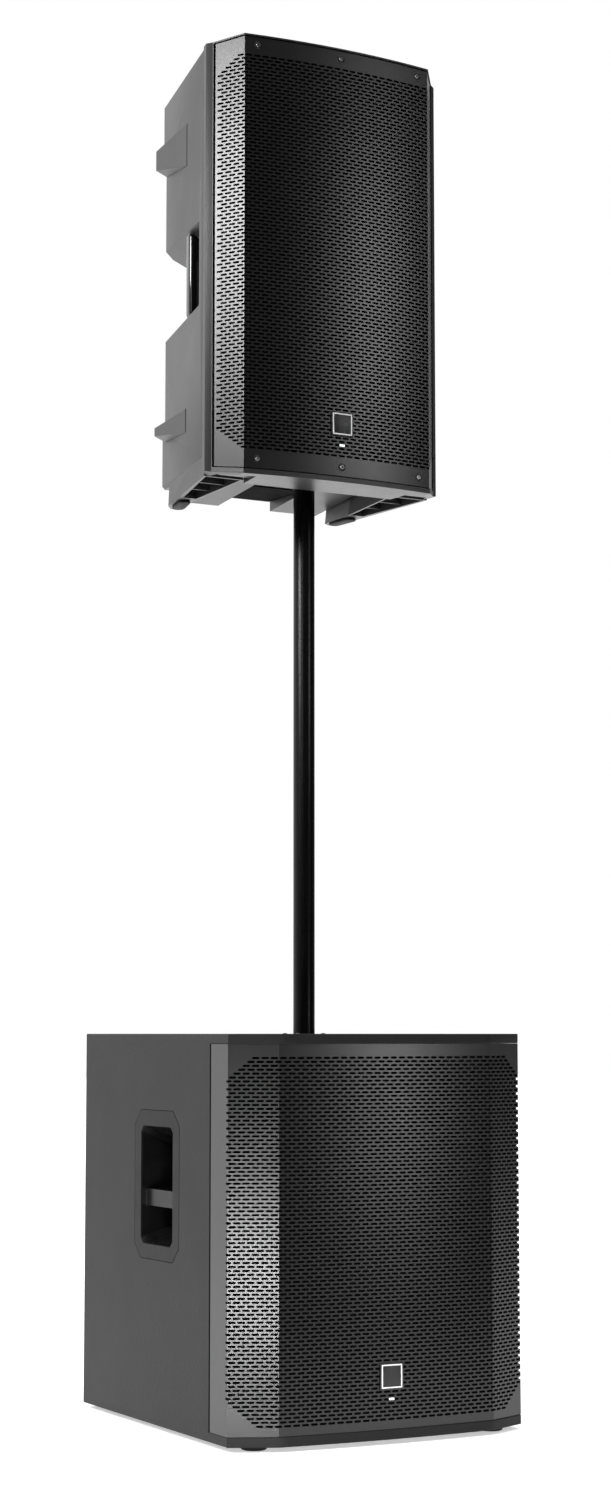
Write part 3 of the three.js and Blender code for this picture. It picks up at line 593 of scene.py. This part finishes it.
def cabinet_grille():
    _, x1, y0, y1, z0, z1 = edges_of("cabinet_grille")
    facet_y = y1 - 4
    shadow = 1.6  # the line of shadow inside the rim
    x1, z0, z1 = x1 - shadow - 0.1, z0 + shadow, z1 - shadow
    plan = [*bowed(CAB_CORNER_X, y0 + 12.5, y0), (x1, facet_y), (x1, y1)]
    profile = Profile(plan)
    corner, edge, end = profile.reach[-3:]
    facet_pitch, facet_columns = 7.4, 7
    columns = spaced(corner, 24, corner + facet_columns * facet_pitch, facet_columns) + [edge, end]
    rows, first, height = 112, CAB_Z + 688.5, 645.6
    rise_low, fall_high = 9.5 / 44, 7.2 / 44  # slopes of the facets' ends

    def low_at(x):
        return z0 + max(0.0, abs(x) - CAB_CORNER_X) * rise_low

    def high_at(x):
        return z1 - max(0.0, abs(x) - CAB_CORNER_X) * fall_high

    obj = perforated(
        "cabinet_grille_perforated", profile, columns, rows, first, height / (rows - 1),
        outermost(25, rows, 30), low_at, high_at,
    )
    finished(obj, GRILLE, "cabinet", ["cabinet_grille"])
    foam_sheet("cabinet_grille_foam", plan[:-1], z0 + 11, z1 - 9, "cabinet")
    # Black strips behind the gaps at the grille's sides are painted shade that makes each gap read
    # dark.
    for side, sign in SIDES:
        inner, outer = sign * (GRILLE_X1 - 1.5), sign * (GRILLE_X1 + 1.1)
        outline = [(inner, facet_y + 6), (inner, facet_y + 3.2), (outer, facet_y + 3.2),
                   (outer, facet_y + 6)]
        rim_shade_strip = upright(f"grille_rim_shade_strip_{side}", outline, CAB_Z + 18.5, CAB_Z + 713)
        finished(rim_shade_strip, FOAM_AND_PAINTED_SHADE, "cabinet")
    return profile


# ---- subwoofer ------------------------------------------------------------------------------
def sub_outline():
    corner_y, facet_y = -282.5, -249
    right = [*bowed(SUB_CORNER_X, corner_y, SUB_FRONT, 12), (SUB_X1, facet_y), (SUB_X1, SUB_REAR)]
    return [(-x, y) for x, y in right[:0:-1]] + right


def sub_cabinet():
    """One painted box in place of the boards, with rounded edges and no seams in the paint."""
    shell = upright("sub_cabinet_shell", sub_outline(), SUB_LOW, SUB_HIGH)
    past = 9  # how far a cutter reaches past the box
    inside_low, inside_high = SUB_LOW + BOARD, SUB_HIGH - BOARD
    amp = edges_of("sub_amp_panel")
    cutters = [
        block("grille_cutter", SUB_X0 - 5, SUB_X1 + 5, SUB_FRONT - past, SIDE_FRONT, inside_low,
              inside_high),
        block("inside_cutter", SUB_X0 + BOARD, SUB_X1 - BOARD, SUB_FRONT - past,
              SUB_REAR - BOARD, inside_low, inside_high),
        block("amp_cutter", amp[0] - GAP, amp[1] + GAP, SUB_REAR - 40, SUB_REAR + past,
              amp[4] - GAP, amp[5] + GAP),
        turned("socket_cutter", [(0, 500), (COLLAR_RADIUS + 0.4, 500), (COLLAR_RADIUS + 0.4, 640),
                                 (0, 640)], (0, POLE_Y, 0)),
    ]
    for side, sign in SIDES:
        _, _, y0, y1, z0, z1 = edges_of(f"sub_handle_{side}")
        ring = octagon(y0 - GAP, y1 + GAP, z0 - GAP, z1 + GAP, 23)
        cutters.append(extruded(
            "handle_cutter", ring, lambda a, b, x, s=sign: (s * x, a, b), SUB_X1 - 40,
            SUB_X1 + past))
    carve(shell, *cutters)
    round_edges(shell, 1.6, 3)
    finished(shell, PAINT, "subwoofer",
             ["sub_top_board", "sub_bottom_board", "sub_side_right", "sub_side_left",
              "sub_rear_board"], smooth=30)
    shell.modifiers.new("flat faces stay flat", "WEIGHTED_NORMAL").keep_sharp = True


def rebate_posts():
    """The panel edge behind each side return of the grille, which carries its screws, and a black
    strip in the gap before it that is painted shade.
    """
    z0, z1 = SUB_LOW + BOARD + GAP, SUB_HIGH - BOARD - GAP
    for side, sign in SIDES:
        x0, x1 = sorted((sign * (SUB_X1 - 9), sign * (SUB_X1 - BOARD)))
        post = block(f"sub_side_edge_{side}", x0, x1, -225, SIDE_FRONT + 0.2, z0, z1)
        round_edges(post, 0.8)
        finished(post, PAINT, "subwoofer", smooth=30)
        # A black strip in the gap before the side panel: painted shade where the gap falls dark.
        side_shade_strip = block(f"sub_side_shade_strip_{side}", sign * (SUB_X1 - 0.4), sign * (SUB_X1 - 3),
                     SIDE_FRONT - 2.6, SIDE_FRONT + 0.6, z0, z1)
        finished(side_shade_strip, FOAM_AND_PAINTED_SHADE, "subwoofer")


def pole():
    radius, _, _, z0, z1 = edges_of("pole_tube")[1:]
    bevel = 1.0
    tube = [(TUBE_INSIDE, z0), (radius - bevel, z0), (radius, z0 + bevel), (radius, z1 - bevel),
            (radius - 0.3, z1 - 0.3), (radius - bevel, z1), (TUBE_INSIDE, z1)]
    finished(turned("pole_tube_smooth", tube, (0, POLE_Y, 0), segments=96), ENAMEL, "pole",
             ["pole_tube"], smooth=35)
    bottom, top = edges_of("pole_top_plug")[4:]
    stem, tip, shoulder = TUBE_INSIDE - 0.5, 15.8, z1 + GAP
    plug = [(0, bottom), (stem, bottom), (stem, shoulder), (tip, shoulder), (tip, top - 4),
            (tip - 1.2, top - 1.6), (tip - 4, top), (0, top)]
    finished(turned("pole_plug_smooth", plug, (0, POLE_Y, 0), segments=72), PLASTIC, "pole",
             ["pole_top_plug"], smooth=35)


def pole_collar():
    bottom, top = edges_of("sub_pole_socket")[4:]
    bore, wall, rim = 17.9, 21.9, COLLAR_RADIUS
    collar = [(0, bottom), (wall, bottom), (wall, top - 3), (rim, top - 3), (rim, top - 1.2),
              (rim - 1.2, top), (bore + 1.5, top), (bore, top - 1.5), (bore, bottom + 6),
              (0, bottom + 6)]
    finished(turned("sub_pole_collar", collar, (0, POLE_Y, 0), segments=96), CASTING, "subwoofer",
             ["sub_pole_socket"], smooth=35)
    screw_circle = 32.5
    for i in range(4):
        a = math.pi / 4 + i * math.pi / 2
        place = (screw_circle * math.cos(a), POLE_Y + screw_circle * math.sin(a), top)
        screw_head(f"collar_screw_{i + 1}", place, upwards, 3.6, 1.2, "subwoofer")


def sub_feet():
    for place in ("front_left", "front_right", "rear_left", "rear_right"):
        node = f"sub_foot_{place}"
        x0, x1, y0, y1, z0, z1 = edges_of(node)
        r = (x1 - x0) / 2
        foot = [(0, 0.6), (3.4, 0.6), (3.4, z0), (r - 3, z0), (r - 1, z0 + 0.7), (r, z0 + 2.4),
                (r, z1), (0, z1)]
        finished(turned(f"{node}_moulded", foot, ((x0 + x1) / 2, (y0 + y1) / 2, 0)), RUBBER,
                 "subwoofer", [node], smooth=35)


# ---- small pieces ---------------------------------------------------------------------------
def screw_head(name, centre, facing, radius, height, body):
    """A pan head with a round recess."""
    ring = [(0, -1), (radius, -1), (radius, height * 0.35), (radius * 0.78, height),
            (radius * 0.5, height), (radius * 0.42, height * 0.2), (0, height * 0.2)]
    finished(turned(name, ring, centre, facing, 24), SCREW, body, smooth=40)


def knobs():
    """Ribbed level knobs with a white line, inside a scale of eleven dots."""
    ribs, rib_depth, taper = 24, 0.7, 0.84
    first_dot, dot_step = -140, 28  # degrees
    for prefix, host in (("sub", "subwoofer"), ("cabinet", "cabinet")):
        node, body = f"{prefix}_level_knob", f"{prefix}_knob"
        x0, x1, y0, y1, z0, z1 = edges_of(node)
        x, z, r = (x0 + x1) / 2, (z0 + z1) / 2, (x1 - x0) / 2
        outline = []
        for i in range(ribs * 2):
            a = math.pi * i / ribs
            reach = r - (0.0 if i % 2 else rib_depth)
            outline.append((reach * math.cos(a), reach * math.sin(a)))
        top = y1 - 0.6
        knob = lofted(
            f"{node}_ribbed",
            [(x + a, y0, z + b) for a, b in outline],
            [(x + a * taper, top, z + b * taper) for a, b in outline],
        )
        round_edges(knob, 0.5, angle=40)
        finished(knob, PLASTIC, body, [node], smooth=25)
        mark = block(f"{node}_mark", x - 0.7, x + 0.7, top - 0.6, top + 0.5, z + 1.5, z + r * 0.78)
        finished(mark, WHITE, body)
        for i in range(11):
            a = math.radians(first_dot + dot_step * i)
            place = (x + math.sin(a) * (r + 4), y0 - GAP, z + math.cos(a) * (r + 4))
            dot = turned(f"{prefix}_level_dot_{i + 1}", [(0, 0), (0.8, 0), (0.8, 0.35), (0, 0.35)],
                         place, backwards, 12)
            finished(dot, WHITE, host)


def badges():
    """Blank black plates with a plain white border."""
    outer, inner = 17.5, 15.6
    for prefix, body in (("sub", "subwoofer"), ("cabinet", "cabinet")):
        node = f"{prefix}_badge"
        x0, x1, y0, y1, z0, z1 = edges_of(node)
        plate = block(f"{prefix}_badge_plate", x0, x1, y0 + 0.6, y1, z0, z1)
        round_edges(plate, 0.5)
        finished(plate, BADGE, body, [node], smooth=30)
        x, z = (x0 + x1) / 2, (z0 + z1) / 2
        ring = block(f"{prefix}_badge_border", x - outer, x + outer, y0, y0 + 1.2, z - outer,
                     z + outer)
        carve(ring, block("hole", x - inner, x + inner, y0 - 3, y0 + 3, z - inner, z + inner))
        finished(ring, WHITE, body)


def grille_screws(profile):
    """Six screws in dished washers along the top and bottom of the upper grille."""
    bow = 1.003  # distance along the bowed sheet over distance across it
    washer = [(0, -0.8), (6.4, -0.8), (6.4, 0.35), (5.2, 0.9), (4.6, 0.1), (0, 0.1)]
    for row, z in (("upper", CAB_Z + 706.5), ("lower", CAB_Z + 24.5)):
        for i, x in enumerate((-148, 0, 148)):
            place = (*profile.at(x * bow), z)
            seat = turned(f"grille_washer_{row}_{i + 1}", washer, place, forwards, 32)
            finished(seat, PLASTIC, "cabinet", smooth=35)
            screw_head(f"grille_screw_{row}_{i + 1}", place, forwards, 4.2, 1.7, "cabinet")


def rounded_copy(node, name, material, width, segments):
    """The CAD piece with its edges rounded and shaded smooth."""
    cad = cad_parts[node]
    obj = link(name, cad.data.copy())
    obj.matrix_world = cad.matrix_world
    round_cad_edges(obj, width, segments)
    apply_modifiers(obj)
    finished(obj, material, "cabinet", [node], smooth=35)


def grips_and_feet():
    for side, _ in SIDES:
        grip, foot = f"hand_grip_{side}", f"cabinet_foot_{side}"
        rounded_copy(grip, f"{grip}_moulded", GLOSS_PLASTIC, 7.5, 6)
        rounded_copy(foot, f"{foot}_moulded", RUBBER, 0.8, 3)


def channel_painted_shade():
    """A black sheet on the ceiling of the channel under the upper cabinet, sloping up to its rear
    edge: painted shade where the channel falls dark.
    """
    half, thin = 47, 0.9

    def section(y, height):
        z = CAB_Z + height
        return [(-half, y, z - thin), (half, y, z - thin), (half, y, z + thin), (-half, y, z + thin)]

    # The black sheet is painted shade on the channel's ceiling.
    painted_shade_sheet = lofted("cabinet_channel_painted_shade", section(91.4, 33.201), section(213.4, 37.654))
    finished(painted_shade_sheet, FOAM_AND_PAINTED_SHADE, "cabinet")


# ---- studio ---------------------------------------------------------------------------------
def softbox(name, place, target, width, height, watts):
    light = bpy.data.lights.new(name, "AREA")
    light.shape = "RECTANGLE"
    light.size, light.size_y = width, height
    light.energy = watts
    obj = link(name, light)
    obj.location = place
    obj.rotation_mode = "QUATERNION"
    obj.rotation_quaternion = (Vector(target) - obj.location).to_track_quat("-Z", "Y")
    obj.visible_camera = False


def floor():
    """A floor that ends in front of the object, so that a low camera sees the object's foot."""
    near, far, half = -1000, 30000, 30000
    obj = raw("floor", [(-half, near, 0), (half, near, 0), (half, far, 0), (-half, far, 0)],
              [[0, 1, 2, 3]])
    obj.data.materials.append(floor_material("floor_paper"))


def surroundings():
    """White to the camera; everything else is lit by the sum of the lobes."""
    world = bpy.data.worlds.new("studio")
    bpy.context.scene.world = world
    world.use_nodes = True
    nodes, links = world.node_tree.nodes, world.node_tree.links
    nodes.clear()
    direction = nodes.new("ShaderNodeTexCoord").outputs["Generated"]
    total = None
    for towards, start, end, power in WORLD_LOBES:
        dot = nodes.new("ShaderNodeVectorMath")
        dot.operation = "DOT_PRODUCT"
        dot.inputs[1].default_value = Vector(towards).normalized()
        links.new(direction, dot.inputs[0])
        lobe = nodes.new("ShaderNodeMapRange")
        lobe.interpolation_type = "SMOOTHSTEP"
        for key, value in (("From Min", start), ("From Max", end), ("To Min", 0), ("To Max", power)):
            lobe.inputs[key].default_value = value
        links.new(dot.outputs["Value"], lobe.inputs["Value"])
        if total is None:
            total = lobe.outputs["Result"]
            continue
        added = nodes.new("ShaderNodeMath")
        links.new(total, added.inputs[0])
        links.new(lobe.outputs["Result"], added.inputs[1])
        total = added.outputs[0]
    lit, seen = nodes.new("ShaderNodeBackground"), nodes.new("ShaderNodeBackground")
    lit.inputs["Color"].default_value = seen.inputs["Color"].default_value = (1, 1, 1, 1)
    links.new(total, lit.inputs["Strength"])
    pick = nodes.new("ShaderNodeMixShader")
    links.new(nodes.new("ShaderNodeLightPath").outputs["Is Camera Ray"], pick.inputs["Fac"])
    links.new(lit.outputs[0], pick.inputs[1])
    links.new(seen.outputs[0], pick.inputs[2])
    links.new(pick.outputs[0], nodes.new("ShaderNodeOutputWorld").inputs["Surface"])


def lights():
    for box in SOFTBOXES:
        softbox(*box)
    ceiling = bpy.data.lights.new("ceiling", "SUN")
    ceiling.energy = 1.2
    ceiling.angle = math.radians(20)
    link("ceiling", ceiling)
    bpy.context.scene.view_settings.view_transform = "Standard"


def camera():
    data = bpy.data.cameras.new("camera")
    data.sensor_width = 36
    data.lens = CAMERA_LENS
    data.clip_end = 100
    obj = link("camera", data)
    obj.location = CAMERA_PLACE
    heading, pitch = math.radians(CAMERA_HEADING), math.radians(CAMERA_PITCH)
    look = Vector((math.sin(heading) * math.cos(pitch), math.cos(heading) * math.cos(pitch),
                   math.sin(pitch)))
    obj.rotation_mode = "QUATERNION"
    obj.rotation_quaternion = look.to_track_quat("-Z", "Y")
    bpy.context.scene.camera = obj


dress_cad()
sub_cabinet()
rebate_posts()
sub_grille()
top_profile = cabinet_grille()
pole()
pole_collar()
sub_feet()
knobs()
badges()
grille_screws(top_profile)
grips_and_feet()
channel_painted_shade()
floor()
surroundings()
lights()
camera()
